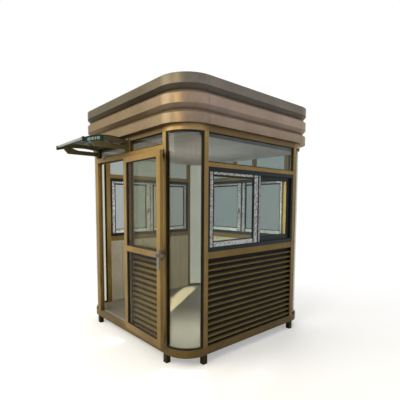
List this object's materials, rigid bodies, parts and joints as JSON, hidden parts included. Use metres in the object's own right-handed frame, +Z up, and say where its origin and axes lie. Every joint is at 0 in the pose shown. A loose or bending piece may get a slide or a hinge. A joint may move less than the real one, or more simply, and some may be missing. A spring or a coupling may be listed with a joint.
{
  "type": "security guard booth",
  "caption": "Square guard booth in golden bronze metal with rounded glass corners, sliding windows on three sides, louvered lower walls, a banded roof and a swing door under a canopy.",
  "frame": {"origin": "on the ground, at the middle of the booth's overall box in plan", "axes": "+Z up; -Y towards the door and canopy; +X towards the window wall right of the door"},
  "size_m": [2.13, 2.574, 2.689],
  "materials": {
    "bronze": "satin",
    "dark_bronze": "satin",
    "window_aluminium": "satin",
    "rail_aluminium": "satin",
    "clear_glass": "polished",
    "smoked_sheet": "gloss",
    "gasket_rubber": "matt",
    "floor_board": "satin",
    "lining_board": "matt",
    "hardware_steel": "brushed"
  },
  "bodies": {
    "booth": {"feet": "bronze", "base_beam": "bronze", "floor_joists": "bronze", "corner_posts": "bronze", "top_beam": "bronze", "sill_rails": "bronze", "head_rails": "bronze", "right_louvers": "bronze", "rear_louvers": "bronze", "left_louvers": "bronze", "side_panel_louvers": "bronze", "rear_transom_bars": "bronze", "door_jamb": "bronze", "front_mullion": "bronze", "front_header": "bronze", "roof_band_bottom": "bronze", "roof_band_middle": "bronze", "roof_band_top": "bronze", "roof_cap": "bronze", "canopy_bracket_left": "dark_bronze", "canopy_bracket_right": "dark_bronze", "right_window_frame": "window_aluminium", "rear_window_frame": "window_aluminium", "left_window_frame": "window_aluminium", "right_sashes": "window_aluminium", "rear_sashes": "window_aluminium", "left_sashes": "window_aluminium", "canopy_rails": "rail_aluminium", "corner_glass": "clear_glass", "right_glass": "clear_glass", "rear_glass": "clear_glass", "left_glass": "clear_glass", "front_glass": "clear_glass", "canopy_sheet": "smoked_sheet", "corner_gaskets": "gasket_rubber", "floor_panel": "floor_board", "wall_linings": "lining_board", "ceiling": "lining_board", "hinge_plates": "hardware_steel", "strike_plate": "hardware_steel"},
    "door": {"door_leaf_frame": "bronze", "door_glass": "clear_glass", "door_hinges": "hardware_steel", "door_handles": "hardware_steel", "door_latch": "hardware_steel"}
  },
  "joints": [
    {"name": "door_swing", "type": "hinge", "parent": "booth", "child": "door", "pos_m": [0.048, -0.792, 0], "axis": [0, 0, -1], "range_deg": [0, 177.8]}
  ]
}
